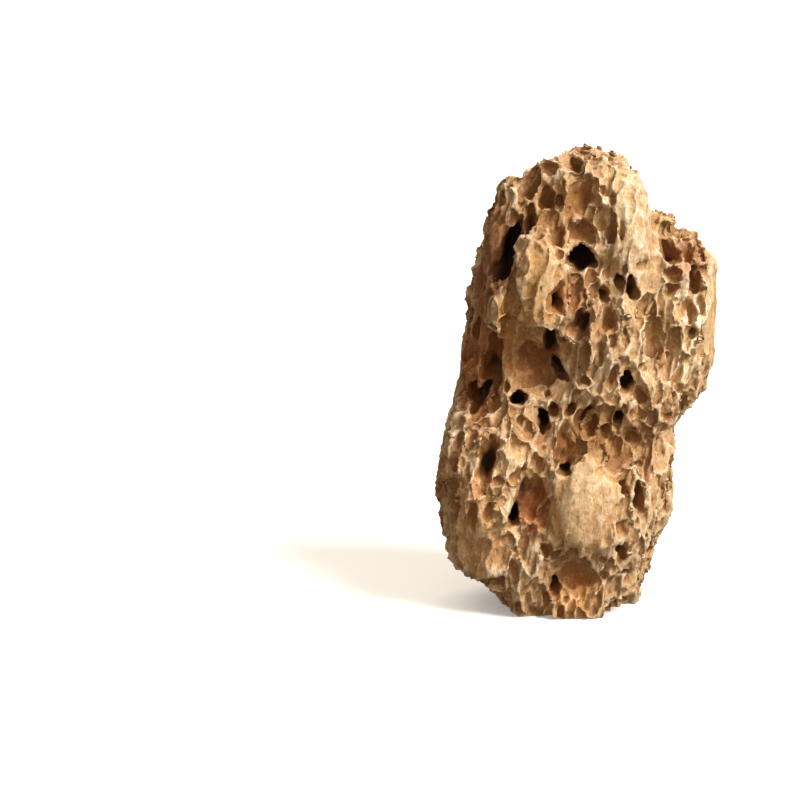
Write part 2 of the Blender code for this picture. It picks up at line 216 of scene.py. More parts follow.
# Pockets of the show face, in mm: across, up, width, height, lean to the right in degrees, depth.
CROWN = (
    (-1, 260, 14, 9, 30, 10),
    (-26, 248, 6, 17, 20, 12),
    (-16, 257, 8, 8, 0, 6),
    (-17, 239, 9, 17, 5, 8),
    (6, 243, 18, 29, 6, 10),
    (-29, 224, 9, 20, 4, 12),
    (-22, 217, 3, 7, 0, 6),
    (-8, 220, 11, 24, 18, 14),
    (5, 219, 16, 14, 5, 6),
    (17, 243, 4, 7, 0, 8),
    (22, 238, 4, 8, 0, 6),
    (22, 222, 7, 27, 0, 7),
    (28, 222, 3, 19, 0, 4),
    (48, 232, 4, 12, -15, 5),
)
UPPER_FRONT = (
    (4, 203, 16, 15, 10, 24),
    (-41, 206, 13, 42, 20, 18),
    (-34, 193, 6, 8, 10, 3),
    (-28, 184, 7, 11, 15, 3),
    (-9, 206, 4, 10, 10, 4),
    (26, 188, 7, 10, 0, 15),
    (34, 184, 7, 18, -8, 17),
    (30, 196, 3, 8, 0, 5),
    (17, 181, 6, 9, -10, 16),
    (10, 193, 5, 13, 15, 6),
    (41, 198, 8, 7, 0, 4),
    (19, 166, 10, 21, 8, 10),
    (8, 168, 7, 12, 10, 6),
    (2, 162, 12, 18, 20, 16),
    (3, 145, 10, 20, 5, 9),
    (15, 146, 7, 18, 0, 6),
    (31, 164, 3, 16, 0, 5),
    (-9, 174, 6, 12, 0, 20),
    (-8, 180, 15, 22, 15, 9),
    (-15, 152, 8, 20, 5, 16),
    (-11, 137, 7, 18, -35, 15),
)
RIGHT_SHOULDER = (
    (56, 209, 10, 19, -15, 14),
    (68, 209, 7, 15, 0, 12),
    (75, 210, 5, 10, 0, 6),
    (59, 192, 10, 12, -20, 8),
    (58, 183, 9, 8, -40, 8),
    (73, 189, 9, 22, 5, 14),
    (52, 212, 2, 15, 0, 5),
    (47, 153, 12, 31, 0, 4),
    (70, 170, 5, 14, 0, 7),
    (71, 158, 3, 9, 0, 8),
    (74, 153, 2, 13, 0, 4),
    (60, 156, 6, 16, 0, 4),
    (64, 124, 4, 8, 0, 6),
    (58, 107, 8, 7, 0, 7),
)
WAIST = (
    (32, 127, 9, 15, 0, 20),
    (33, 128, 13, 19, 0, 6),
    (23, 130, 7, 16, 10, 6),
    (40, 119, 8, 13, -20, 8),
    (5, 128, 8, 6, 0, 8),
    (26, 107, 5, 8, 20, 15),
    (6, 109, 3, 13, 30, 14),
    (-3, 111, 5, 9, 15, 13),
    (18, 98, 7, 11, 0, 7),
    (10, 103, 7, 17, 15, 7),
    (34, 95, 5, 6, 0, 5),
    (38, 110, 10, 11, 0, 4),
    (-19, 105, 7, 17, -10, 18),
    (-13, 111, 6, 9, 10, 11),
    (-17, 122, 4, 6, 0, 6),
    (-32, 105, 5, 7, 0, 4),
)
RECESS = (
    (-22, 138, 25, 28, -20, 9),
    (-49, 138, 14, 30, 0, 10),
    (-40, 164, 12, 8, 0, 8),
    (-34, 119, 9, 9, 0, 22),
    (-41, 126, 3, 8, 0, 7),
    (-64, 122, 7, 17, 25, 20),
    (-56, 120, 7, 25, 35, 20),
    (-66, 148, 10, 24, 10, 5),
)
LOWER_FRONT = (
    (-52, 85, 11, 35, 12, 15),
    (-62, 95, 4, 14, 10, 4),
    (-70, 94, 4, 13, 10, 5),
    (-74, 80, 8, 16, 5, 6),
    (-46, 69, 8, 7, 20, 4),
    (-27, 59, 19, 35, 15, 13),
    (-37, 46, 7, 14, 5, 22),
    (-33, 73, 5, 16, 40, 8),
    (-7, 76, 8, 8, 0, 18),
    (-5, 88, 13, 26, 0, 7),
    (-62, 47, 6, 23, 5, 5),
    (-52, 50, 5, 14, 10, 6),
    (25, 81, 11, 11, 10, 7),
    (39, 58, 7, 20, -5, 13),
    (38, 79, 4, 4, 0, 5),
    (28, 26, 6, 12, -15, 9),
    (30, 40, 10, 14, 0, 5),
    (38, 43, 3, 8, 0, 5),
    (46, 29, 6, 13, 0, 10),
    (16, 21, 4, 5, 0, 5),
)
FOOT = (
    (-17, 26, 6, 12, -20, 8),
    (-12, 23, 5, 7, 30, 8),
    (-1, 13, 30, 31, 0, 7),
    (-12, 6, 5, 12, 0, 15),
    (-37, 14, 5, 16, 0, 5),
    (-51, 7, 17, 8, -20, 8),
    (-74, 31, 10, 13, 0, 5),
    (29, 14, 10, 4, 0, 6),
)
SHOW_FACE = CROWN + UPPER_FRONT + RIGHT_SHOULDER + WAIST + RECESS + LOWER_FRONT + FOOT
# A pocket goes in along the line of sight by this much, against 1 square to the skin.
ALONG_SIGHT = 1.8

DISH_WIDTH = 1.6  # the worn dish round a pocket's mouth, as a multiple of the pocket's width
DISH_HEIGHT = 1.5
DISH_DEPTH = 0.25  # of the pocket's depth
DISH_MOST = 3 * MM
DISH_FORM = 1.5  # exponent of its profile: more makes its rim softer
DIVE = math.radians(14)  # a pocket's foot dips into the stone by this much, behind its lower lip
TAPER = 0.25  # a pocket is narrower at its top by this share
# How far a pocket strays from an oval, as a share of its size, and how finely: in its outline, in
# the small teeth of its rim and in the upright grooves of its walls.
RAGGED, RAGGED_DETAIL = 0.36, 1.4
TEETH, TEETH_DETAIL = 0.16, 5.5
WALL_GROOVES, WALL_DETAIL = 0.14, 4
WALL_RUN = 0.25  # how little a groove changes along its length, against across it
NEXT_SHAPE = 3.7  # a step through the noise that gives the next pocket a shape of its own
POCKET_FINENESS, PINHOLE_FINENESS = 4, 2  # subdivisions of the balls that they are shaped from


class Pocket(NamedTuple):
    """A pocket by where it opens on the skin, the way that it goes in, and its size in metres."""

    mouth: Vector
    inward: Vector
    width: float
    height: float
    lean: float
    depth: float


class Scatter(NamedTuple):
    """Pockets scattered over the skin: how many, and the ranges that their sizes are drawn from."""

    count: int
    width: tuple  # mm
    tall: tuple  # height over width
    deep: tuple  # depth over width
    lean: tuple  # degrees to the right
    spacing: float  # how close two pockets may come, as a share of their mean height
    spared: float  # half the angle in front that is left without them, in radians
    barest: float  # they need at least this share of crags and scoops round them
    seed: int


SIDE_POCKETS = Scatter(
    110, (5, 18), (1.3, 2.6), (0.5, 1.0), (-5, 22), 0.66, math.radians(52), 0.6, 7)
PINHOLES = Scatter(240, (1.4, 4.5), (1.2, 2.4), (0.9, 1.7), (-8, 24), 0.9, 0, 0.8, 11)
WIDTH_SHARE = (0.5, 1)  # each width that is drawn is multiplied by a second draw from this range
# Scattered pockets are aimed at points of the stone's axis between these heights, in mm.
SCATTER_HEIGHTS = (6, 290)
FAR_OUT = 500 * MM  # how far out each is aimed from
CROWN_FROM = 200 * MM  # those above this height are aimed from above by so much
FROM_ABOVE = 120 * MM

# --- The finished skin ----------------------------------------------------------------------------

OPEN_SKIN = 5 * MM  # how far in from the skin its finish has faded to what pockets have of it
# The share of each kind of finish that the insides of the pockets have.
FLUTES_INSIDE = 0.25
FINE_FLUTES_INSIDE = 0.3
SCOOPS_INSIDE = 0.2
CRUMBS_INSIDE = 0.4
BARE_FLUTES = 0.12  # the share of the flutes that the barest skin keeps
TOP_SMOOTH = 0.6  # how much smoother faces are that look up or down, where no grain runs
# The skin has places that crumble into small scoops, and deeper flutes between them.
CRUMBLY_WIDTH = 15 * MM
CRUMBLY_STRETCH = 1.5
CRUMBLY_EDGE = 1.8  # more makes these places end more sharply
CRUMBLY_SHARE = 0.28  # more makes more of them
FLUTES_MOST = 1.25  # how deep broad flutes are between them, which is 1 less inside them
CRUMB = 0.25 * MM  # how far the finest crumbs stand in and out
CRUMB_WIDTH = 2.4 * MM
CRUMB_LAYERS = (0.8, 2.2, 3)

CRISP = 0.28  # how much sharper the finished skin's crests and hollows are made
CRISP_ROUNDS = 3  # how far round a point they are measured, in rounds of neighbours
CRISP_MOST = 0.35 * MM
CRISP_FROM = 1 * MM  # the flat break that the stone stands on stays as it is below this height

# --- Stains and painted shade ---------------------------------------------------------------------

# What a stain does to the clay's colour, as shares of its red, green and blue; some paint shade.
RUST = (0.72, 0.42, 0.30)
# The next colour is darker than the clay's own umber: it also paints shade on the left side.
UMBER_AND_SHADE = (0.44, 0.29, 0.19)
SIENNA = (0.62, 0.40, 0.26)
OCHRE = (0.98, 0.84, 0.62)
AMBER = (1.15, 0.93, 0.72)
BROWN = (0.74, 0.62, 0.48)
CHALK = (1.22, 1.3, 1.36)
PALE = (1.3, 1.4, 1.5)
MOSS = (0.72, 0.76, 0.35)

# Stains and painted shade, in the same terms as the lumps, and then the stain and its strength.
STAINS_AND_SHADE = (
    # The next two stains paint shade on the shaded face and the left flank, on top of their
    # reddish-brown clay.
    (-54, -24, 210, 22, 36, 52, UMBER_AND_SHADE, 1.0),  # shaded face and left flank
    (-60, -24, 150, 24, 46, 40, SIENNA, 1.0),
    # The next two stains paint shade into the recess and under its roof, on top of its brown clay.
    (-36, -44, 148, 32, 26, 28, BROWN, 1.0),  # recess
    (-34, -36, 156, 30, 22, 18, SIENNA, 0.6),  # its roof
    (-42, -50, 178, 12, 22, 14, OCHRE, 0.9),  # shelf under the shaded face
    (-6, -44, 188, 11, 26, 15, SIENNA, 0.75),  # hollow under the window
    (-25, -56, 202, 17, 30, 32, OCHRE, 0.8),  # slab on the upper left
    (-20, -34, 238, 27, 26, 27, BROWN, 1.0),  # left of the crown
    (8, -48, 172, 14, 24, 20, BROWN, 0.35),  # front of the middle column
    (-44, -62, 78, 26, 26, 36, CHALK, 0.45),  # front of the lower left
    (60, -44, 164, 30, 30, 42, PALE, 1.0),  # front of the shoulder
    (62, -40, 208, 18, 30, 14, RUST, 0.5),  # cavities of the shoulder
    (-28, -50, 66, 13, 24, 18, RUST, 0.8),  # red cavity
    (-62, -50, 62, 22, 34, 46, AMBER, 0.6),  # left of the lower left
    (16, -60, 140, 26, 24, 20, CHALK, 0.4),  # foot of the middle column
    (10, -46, 110, 46, 26, 20, BROWN, 0.95),  # waist
    (84, -18, 170, 14, 40, 52, OCHRE, 1.0),  # far right of the shoulder
    (1, -60, 70, 26, 26, 34, OCHRE, 0.6),  # smooth plate
    (18, -36, 250, 16, 26, 30, CHALK, 0.7),  # crown
    (34, -50, 190, 20, 26, 44, CHALK, 0.35),  # slab down the right of the crown
    (48, -20, 236, 8, 18, 10, MOSS, 0.5),  # notch between crown and shoulder
    (-88, -14, 78, 14, 60, 60, SIENNA, 0.8),  # left side of the foot
    (-2, -52, 14, 20, 20, 18, AMBER, 0.9),  # hollow of the foot
    # The next stain paints shade, in brown, on the underside on the left.
    (-56, -30, 8, 46, 60, 16, BROWN, 0.8),  # underside on the left
    (58, -24, 20, 36, 50, 34, BROWN, 0.5),  # right of the foot
    (14, 50, 214, 28, 24, 34, BROWN, 0.6),  # the back, from its top to its foot
    (-44, 40, 188, 22, 26, 40, SIENNA, 0.5),
    (46, 44, 134, 26, 26, 26, CHALK, 0.5),
    (-18, 54, 122, 30, 24, 24, RUST, 0.4),
    (24, 54, 66, 26, 24, 34, OCHRE, 0.7),
    (-6, 46, 14, 60, 30, 20, BROWN, 0.9),
    (84, 24, 150, 18, 22, 30, SIENNA, 0.4),  # right side
)
PINKER = (1.0, 0.86, 0.84)  # the clay's own change of hue from place to place
YELLOWER = (0.98, 0.95, 0.76)
SPECK = (0.5, 0.4, 0.3)
STAIN_AND_SHADE_EDGE = (0.45, 1.15)  # where a stain starts to fade and where it ends, as shares of its reach
STAIN_AND_SHADE_WANDER = 0.35  # how ragged its edge is
STAIN_AND_SHADE_GRAIN = 16 * MM
STAIN_AND_SHADE_STRETCH = 1.6
STAIN_AND_SHADE_LAYERS = (0.8, 2.1, 4)

# --- How the surface lies -------------------------------------------------------------------------

# How far round a point its crests and swells are measured, in rounds of neighbours, and how far out
# it stands when it counts as a whole one.
CREST_ROUNDS, CREST_REACH = 4, 0.35 * MM
SWELL_ROUNDS, SWELL_REACH = 50, 1.6 * MM
DEPTH_UNIT = 10 * MM  # the depth below the skin that counts as 1

# --- The clay's pattern ---------------------------------------------------------------------------


class Pattern(NamedTuple):
    """A cloudy noise: the size of its clouds, its layers and how strong the finer ones are."""

    size: float
    detail: float = 4
    roughness: float = 0.6


CLOUDS = Pattern(24 * MM)
HUES = Pattern(9 * MM, 3)
STREAKS = Pattern(4 * MM, 5, 0.65)
MOTTLE = Pattern(1.8 * MM, 4, 0.7)
SAND = Pattern(1.1 * MM, 3, 0.7)
STREAKS_RUN = 0.3  # how little a streak changes along its length, against across it


class Fade(NamedTuple):
    """Between which values of a pattern a colour comes in, and how strong it gets."""

    start: float
    end: float
    strength: float


NOISE_MIDDLE = 0.5  # of a pattern's values, which go from 0 to 1
# How much each pattern adds to the worn height that the skin is coloured by.
SWELL_PART, STREAKS_PART, CLOUDS_PART = 0.55, 1.1, 0.9
CLAY_FROM = (-1.0, 0.1)  # over these heights the hollow's colour turns to the clay's
PALE_HEIGHT = Fade(0.0, 1.0, 0.7)  # high and sharp places are pale together
PALE_CREST = Fade(0.2, 0.9, 0.3)
PALE_FROM = (0.0, 1.1)
PINK = Fade(0.5, 0.7, 0.6)
YELLOW = Fade(0.5, 0.3, 0.6)
PALE_SAND = Fade(0.52, 0.68, 0.4)
# Depth darkens the pockets: browner clay and dirt, and painted shade that stands in for the dark of
# deep holes.
SHALLOW = Fade(0.1, 0.7, 0.8)  # over these depths the pockets darken, and over the next ones more
DIRT_AND_SHADE = Fade(0.7, 1.35, 0.95)
SPECKS = Fade(0.52, 0.36, 0.45)
BUMP = 1.1 * MM
BUMP_MOTTLE, BUMP_SAND = 0.5, 0.5
MATTE, MATTE_MOTTLE = 0.82, 0.15  # roughness, and how much the mottles add to it
SHEEN = 0.25  # specular level of dry clay

# --- The stage ------------------------------------------------------------------------------------

FLOOR_REACH = 14.0
FLOOR_COLOUR = (0.86, 0.86, 0.85)
FLOOR_ROUGHNESS = 0.9
FLOOR_GLOW = 0.22  # keeps the floor pale away from the lights
KEY_FROM = Vector((0.82, -0.57, 0.95))  # the way to each light
FILL_FROM = Vector((0.2, -1, 0.35))
BACK_FROM = Vector((-0.15, 1, 0.75))
WHITE = (1, 1, 1)
WARM = (1, 0.9, 0.76)  # colour of the light that fills the shade
VIEW_ACROSS = -105 * MM  # the picture's middle, from the origin: across, and up the picture
VIEW_UP = 117.6 * MM

# --- Settings -------------------------------------------------------------------------------------


class RockForm(bpy.types.PropertyGroup):
    """How finely the stone is carved."""

    boulder_grain: FloatProperty(
        name="Boulder grain",
        description="Size of the faces that fuse the lumps into one boulder",
        default=1.1 * MM, min=0.5 * MM, unit="LENGTH",
    )
    carved_grain: FloatProperty(
        name="Carved grain",
        description="Size of the faces of the carved stone",
        default=0.85 * MM, min=0.5 * MM, unit="LENGTH",
    )
    triangles: IntProperty(
        name="Triangles",
        description="Most triangles in the finished stone",
        default=196000, min=1000,
    )


class RockLook(bpy.types.PropertyGroup):
    """The colours of the stone's clay."""

    clay: FloatVectorProperty(
        name="Clay", description="Colour of the open skin",
        subtype="COLOR", default=(0.55, 0.345, 0.168), min=0, max=1,
    )
    crest: FloatVectorProperty(
        name="Crest", description="Colour of the bleached crests between the pockets",
        subtype="COLOR", default=(0.80, 0.64, 0.46), min=0, max=1,
    )
    hollow: FloatVectorProperty(
        name="Hollow", description="Colour of the floors of scoops and shallow pockets",
        subtype="COLOR", default=(0.29, 0.125, 0.036), min=0, max=1,
    )
    # The deep pocket colour is dirt and painted shade: it darkens the deepest pockets to near
    # black.
    deep: FloatVectorProperty(
        name="Deep pocket", description="Colour of the dirt in the deepest pockets",
        subtype="COLOR", default=(0.022, 0.009, 0.004), min=0, max=1,
    )


class StageSettings(bpy.types.PropertyGroup):
    """The camera, the light and the floor."""

    lens: FloatProperty(
        name="Lens", description="Focal length in mm", default=120, min=10,
    )
    distance: FloatProperty(
        name="Distance", description="From the camera to the stone",
        default=1.6, min=0.1, unit="LENGTH",
    )
    key_strength: FloatProperty(
        name="Key light", description="Strength of the light on the upper right",
        default=4.8, min=0,
    )
    key_softness: FloatProperty(
        name="Key softness", description="Width of the light as the stone sees it",
        default=math.radians(26), min=0, subtype="ANGLE",
    )
    fill_strength: FloatProperty(
        name="Fill light", description="Strength of the wide light in front", default=1.1, min=0,
    )
    fill_softness: FloatProperty(
        name="Fill softness", description="Width of the fill light as the stone sees it",
        default=math.radians(90), min=0, subtype="ANGLE",
    )
    back_strength: FloatProperty(
        name="Back light", description="Strength of the light behind the stone",
        default=2.6, min=0,
    )
    back_softness: FloatProperty(
        name="Back softness", description="Width of the back light as the stone sees it",
        default=math.radians(60), min=0, subtype="ANGLE",
    )
    sky: FloatProperty(
        name="Sky", description="Brightness of the pale room", default=0.24, min=0,
    )


# --- Helpers --------------------------------------------------------------------------------------


def new_object(name, bm, collection=None):
    mesh = bpy.data.meshes.new(name)
    bm.to_mesh(mesh)
    bm.free()
    obj = bpy.data.objects.new(name, mesh)
    (collection or bpy.context.scene.collection).objects.link(obj)
    return obj


def evaluated_bmesh(obj):
    """The object's mesh with its modifiers, as a bmesh."""
    bm = bmesh.new()
    bm.from_object(obj, bpy.context.evaluated_depsgraph_get())
    return bm


def remove(objects):
    for obj in list(objects):
        bpy.data.objects.remove(obj)


def clamp(share):
    return min(max(share, 0), 1)


def smoothstep(share):
    return share * share * (3 - 2 * share)


def ramp(value, start, end):
    """0 up to start, 1 from end on and smooth between them."""
    return smoothstep(clamp((value - start) / (end - start)))


def left_of(least, share):
    """What is left of something that fades to its least as a share falls from 1 to 0."""
    return least + (1 - least) * share


def patch_distance(point, patch):
    """How far a point lies from a patch's centre, as a share of the patch's reach."""
    x, y, z, wide, deep, tall = patch
    return Vector((
        (point.x / MM - x) / wide, (point.y / MM - y) / deep, (point.z / MM - z) / tall)).length


def remesh(obj, name, size):
    modifier = obj.modifiers.new(name, "REMESH")
    modifier.mode = "VOXEL"
    modifier.voxel_size = size


def cut(obj, name, collection, solver):
    """A live cut of everything in a collection out of an object."""
    modifier = obj.modifiers.new(name, "BOOLEAN")
    modifier.operand_type = "COLLECTION"
    modifier.collection = collection
    modifier.solver = solver


# --- Carving --------------------------------------------------------------------------------------


def section_at(height):
    """How far the boulder reaches to the left, right, front and back at a height, in mm."""
    below = max(s for s in SECTIONS if s[0] <= height)
    above = min((s for s in SECTIONS if s[0] > height), default=below)
    share = (height - below[0]) / max(above[0] - below[0], 1)
    return [low + (high - low) * share for low, high in zip(below[1:], above[1:])]


def boulder_point(x, y, z):
    """Where a point of the cylinder lies on the boulder."""
    low, high = SECTIONS[0][0], SECTIONS[-1][0]
    height = low + (high - low) * (z + HALF_LENGTH)
    left, right, front, back = section_at(height)
    reach = (abs(x) ** SQUARENESS + abs(y) ** SQUARENESS) ** (-1 / SQUARENESS) if x or y else 0
    return Vector((
        (left + right) / 2 + (right - left) / 2 * x * reach,
        (front + back) / 2 + (back - front) / 2 * y * reach,
        height,
    )) * MM


def add_lump(bm, x, y, z, wide, deep, tall):
    """A boxy oval, its centre and reach in mm."""
    for vert in bmesh.ops.create_icosphere(bm, subdivisions=LUMP_FINENESS, radius=1)["verts"]:
        boxy = [math.copysign(abs(part) ** BOXINESS, part) for part in vert.co]
        vert.co = Vector((x + wide * boxy[0], y + deep * boxy[1], z + tall * boxy[2])) * MM


def make_boulder(size):
    """The boulder with its lumps on and its broad breaks out, as a bmesh."""
    bm = bmesh.new()
    bmesh.ops.create_cone(
        bm, cap_ends=True, segments=RING_POINTS, radius1=1, radius2=1, depth=2 * HALF_LENGTH)
    upright = [e for e in bm.edges if abs(e.verts[0].co.z - e.verts[1].co.z) > HALF_LENGTH]
    bmesh.ops.subdivide_edges(bm, edges=upright, cuts=RINGS)
    for vert in bm.verts:
        vert.co = boulder_point(*vert.co)
    for lump in LUMPS:
        add_lump(bm, *lump)
    boulder = new_object("boulder", bm)
    breaks = bpy.data.collections.new("breaks")
    for number, piece in enumerate(BREAKS):
        bm = bmesh.new()
        add_lump(bm, *piece)
        new_object(f"break_{number}", bm, breaks)
    remesh(boulder, "fuse_lumps", size)
    cut(boulder, "breaks", breaks, "MANIFOLD")
    remesh(boulder, "fuse_breaks", size)
    bm = evaluated_bmesh(boulder)
    remove([boulder, *breaks.objects])
    return bm


def grain(point, width, stretch):
    """A point in a space where the leaning grain is upright, a unit wide and a unit tall."""
    return Vector((point.x - GRAIN_LEAN * point.z, point.y, point.z / stretch)) / width


def scoop_depth(point, scoops):
    """How deep a field of scoops lies below its crests at a point."""
    cell = grain(point, scoops.width, scoops.stretch)
    cell += noise.noise_vector(cell * WANDER_DETAIL) * scoops.wander
    nearest, second, _, _ = noise.voronoi(cell)[0]
    return smoothstep(min((second - nearest) / scoops.crest, 1)) * scoops.depth


def roughness_at(point):
    """The share of the crags and scoops that is left at a point: 1 away from the bare patches."""
    rough = 1.0
    for *place, left in BARE:
        rough = min(rough, left_of(left, ramp(patch_distance(point, place), *BARE_EDGE)))
    return rough


def weather(bm):
    """Wears the skin in and out over broad crags, and scoops it out between sharp crests."""
    bm.normal_update()
    moves = []
    for vert in bm.verts:
        rough = roughness_at(vert.co)
        crag = noise.fractal(grain(vert.co, CRAG_WIDTH, CRAG_STRETCH), *CRAG_LAYERS) * CRAG
        crag *= left_of(CRAG_LEFT, rough)
        scoop = scoop_depth(vert.co, BROAD_SCOOPS) * rough
        moves.append((vert, vert.normal * (crag - scoop)))
    for vert, move in moves:
        vert.co += move


def from_eye(across, up):
    """The direction in which the eye sees a point of its picture."""
    point = Vector((across, up * math.sin(SIGHT_TILT), up * math.cos(SIGHT_TILT))) * MM
    return (point - EYE).normalized()


def show_pockets(tree):
    for across, up, width, height, lean, depth in SHOW_FACE:
        sight = from_eye(across, up)
        mouth, normal, _, _ = tree.ray_cast(EYE, sight)
        if mouth is None:
            continue
        inward = (sight * ALONG_SIGHT - normal).normalized()
        yield Pocket(mouth, inward, width * MM, height * MM, math.radians(lean), depth * MM)


def scattered_pockets(tree, scatter):
    """Pockets all round the stone where none comes too near another."""
    dice = random.Random(scatter.seed)
    placed = []
    while len(placed) < scatter.count:
        bearing = dice.uniform(-math.pi, math.pi)
        height = dice.uniform(*SCATTER_HEIGHTS) * MM
        width = dice.uniform(*scatter.width) * dice.uniform(*WIDTH_SHARE) * MM
        tall = width * dice.uniform(*scatter.tall)
        depth = width * dice.uniform(*scatter.deep)
        lean = math.radians(dice.uniform(*scatter.lean))
        if abs(bearing) < scatter.spared:
            continue
        outward = Vector((math.sin(bearing), -math.cos(bearing), 0))
        rise = FROM_ABOVE if height > CROWN_FROM else 0
        start = outward * FAR_OUT + Vector((0, 0, height + rise))
        target = Vector((0, 0, height))
        mouth, normal, _, _ = tree.ray_cast(start, (target - start).normalized())
        if mouth is None or roughness_at(mouth) < scatter.barest:
            continue
        if any((mouth - other.mouth).length < scatter.spacing * (tall + other.height) / 2
               for other in placed):
            continue
        placed.append(Pocket(mouth, -normal, width, tall, lean, depth))
    return placed


def pocket_axes(pocket):
    """The pocket's own sideways and upright directions, square to the way that it goes in."""
    side = pocket.inward.cross(Vector((0, 0, 1))).normalized()
    upright = side.cross(pocket.inward).normalized()
    turn = Matrix.Rotation(pocket.lean, 3, pocket.inward)
    return turn @ side, turn @ upright


def wear_dishes(bm, pockets):
    """Wears a dish into the skin round each pocket's mouth, so that its walls fall in gently."""
    points = np.array([vert.co for vert in bm.verts])
    push = np.zeros(len(points))
    way = np.zeros((len(points), 3))
    for pocket in pockets:
        side, upright = pocket_axes(pocket)
        away = points - np.array(pocket.mouth)
        across = away @ np.array(side) / (pocket.width / 2 * DISH_WIDTH)
        along = away @ np.array(upright) / (pocket.height / 2 * DISH_HEIGHT)
        through = away @ np.array(pocket.inward) / (pocket.width + pocket.depth)
        share = np.clip(1 - across ** 2 - along ** 2 - through ** 2, 0, 1)
        amount = share ** DISH_FORM * min(pocket.depth * DISH_DEPTH, DISH_MOST)
        push = np.maximum(push, amount)
        way += amount[:, None] * np.array(pocket.inward)
    length = np.linalg.norm(way, axis=1, keepdims=True)
    points += way / np.maximum(length, TINY) * push[:, None]
    for vert, point in zip(bm.verts, points):
        vert.co = point


def pocket_cutter(number, pocket, fineness, collection):
    """A ragged oval, narrow at the top, whose foot dips into the stone."""
    inward = pocket.inward
    side, upright = pocket_axes(pocket)
    upright = (upright * math.cos(DIVE) - inward * math.sin(DIVE)).normalized()
    through = upright.cross(side)
    shape = Vector((number * NEXT_SHAPE, 0, 0))
    bm = bmesh.new()
    bmesh.ops.create_icosphere(bm, subdivisions=fineness, radius=1)
    for vert in bm.verts:
        stray = RAGGED * noise.noise(vert.co * RAGGED_DETAIL + shape)
        stray += TEETH * noise.noise(vert.co * TEETH_DETAIL + shape)
        around = Vector((vert.co.x, vert.co.y, vert.co.z * WALL_RUN))
        stray += WALL_GROOVES * noise.noise(around * WALL_DETAIL + shape)
        unit = vert.co * (1 + stray)
        vert.co = (
            pocket.mouth
            + side * unit.x * (1 - TAPER * unit.z) * pocket.width / 2
            + through * unit.y * pocket.depth
            + upright * unit.z * pocket.height / 2
        )
    bmesh.ops.recalc_face_normals(bm, faces=bm.faces)
    new_object(f"pocket_{number}", bm, collection)


def keep_largest_island(bm):
    """Removes crumbs that the pockets or the base have cut loose, and hollows with no way out."""
    islands, seen = [], set()
    for start in bm.verts:
        if start in seen:
            continue
        seen.add(start)
        island, edge_of_island = [start], [start]
        while edge_of_island:
            vert = edge_of_island.pop()
            for edge in vert.link_edges:
                other = edge.other_vert(vert)
                if other not in seen:
                    seen.add(other)
                    island.append(other)
                    edge_of_island.append(other)
        islands.append(island)
    for island in sorted(islands, key=len)[:-1]:
        bmesh.ops.delete(bm, geom=island, context="VERTS")


def carve(form):
    """The carved stone as an object, and a search tree of the skin before its pockets."""
    noise.seed_set(NOISE_SEED)
    bm = make_boulder(form.boulder_grain)
    weather(bm)
    skin = BVHTree.FromBMesh(bm)
    cutters = bpy.data.collections.new("pocket_cutters")
    large = [*show_pockets(skin), *scattered_pockets(skin, SIDE_POCKETS)]
    wear_dishes(bm, large)
    rock = new_object("clay_rock", bm)
    for number, pocket in enumerate(large):
        pocket_cutter(number, pocket, POCKET_FINENESS, cutters)
    for number, pocket in enumerate(scattered_pockets(skin, PINHOLES), len(large)):
        pocket_cutter(number, pocket, PINHOLE_FINENESS, cutters)
    cut(rock, "pockets", cutters, "MANIFOLD")
    remesh(rock, "even_grain", form.carved_grain)
    bm = evaluated_bmesh(rock)
    rock.modifiers.clear()
    remove(cutters.objects)
    keep_largest_island(bm)
    finish_skin(bm, skin)
    bmesh.ops.bisect_plane(
        bm, geom=[*bm.verts, *bm.edges, *bm.faces], plane_co=(0, 0, 0), plane_no=(0, 0, 1),
        clear_inner=True)
    rim = [e for e in bm.edges if e.is_boundary]
    bmesh.ops.holes_fill(bm, edges=rim)
    keep_largest_island(bm)
    bm.to_mesh(rock.data)
    bm.free()
    return rock, skin


def flute_depth(point, flutes):
    """How deep a field of flutes lies below its sharp ribs at a point."""
    place = grain(point, flutes.width, flutes.stretch)
    place += noise.noise_vector(place * FLUTE_DETAIL) * flutes.wander
    away = math.hypot(noise.noise(place), RIB) - RIB
    return min(away * RIB_TO_FLOOR, 1) * flutes.depth


def depth_in(point, skin):
    """How far a point lies in from the skin."""
    place, normal, _, distance = skin.find_nearest(point)
    return distance if (place - point).dot(normal) > 0 else 0.0


def finish_skin(bm, skin):
    """Flutes, small scoops and crumbs, which fade out towards the floors of the pockets."""
    bm.normal_update()
    moves = []
    for vert in bm.verts:
        open_skin = 1 - smoothstep(clamp(depth_in(vert.co, skin) / OPEN_SKIN))
        rough = roughness_at(vert.co)
        crumbly = smoothstep(clamp(
            noise.noise(grain(vert.co, CRUMBLY_WIDTH, CRUMBLY_STRETCH)) * CRUMBLY_EDGE
            + CRUMBLY_SHARE))
        depth = flute_depth(vert.co, BROAD_FLUTES) * left_of(FLUTES_INSIDE, open_skin)
        depth *= FLUTES_MOST - crumbly
        depth += flute_depth(vert.co, FINE_FLUTES) * left_of(FINE_FLUTES_INSIDE, open_skin)
        depth *= left_of(BARE_FLUTES, rough)
        scoops = scoop_depth(vert.co, SMALL_SCOOPS) + scoop_depth(vert.co, FINE_SCOOPS)
        depth += scoops * crumbly * rough * left_of(SCOOPS_INSIDE, open_skin)
        depth *= 1 - TOP_SMOOTH * vert.normal.z ** 2
        crumb = noise.fractal(vert.co / CRUMB_WIDTH, *CRUMB_LAYERS) * CRUMB
        moves.append((vert, vert.normal * (crumb * left_of(CRUMBS_INSIDE, open_skin) - depth)))
    for vert, move in moves:
        vert.co += move


# --- Colour by place ------------------------------------------------------------------------------


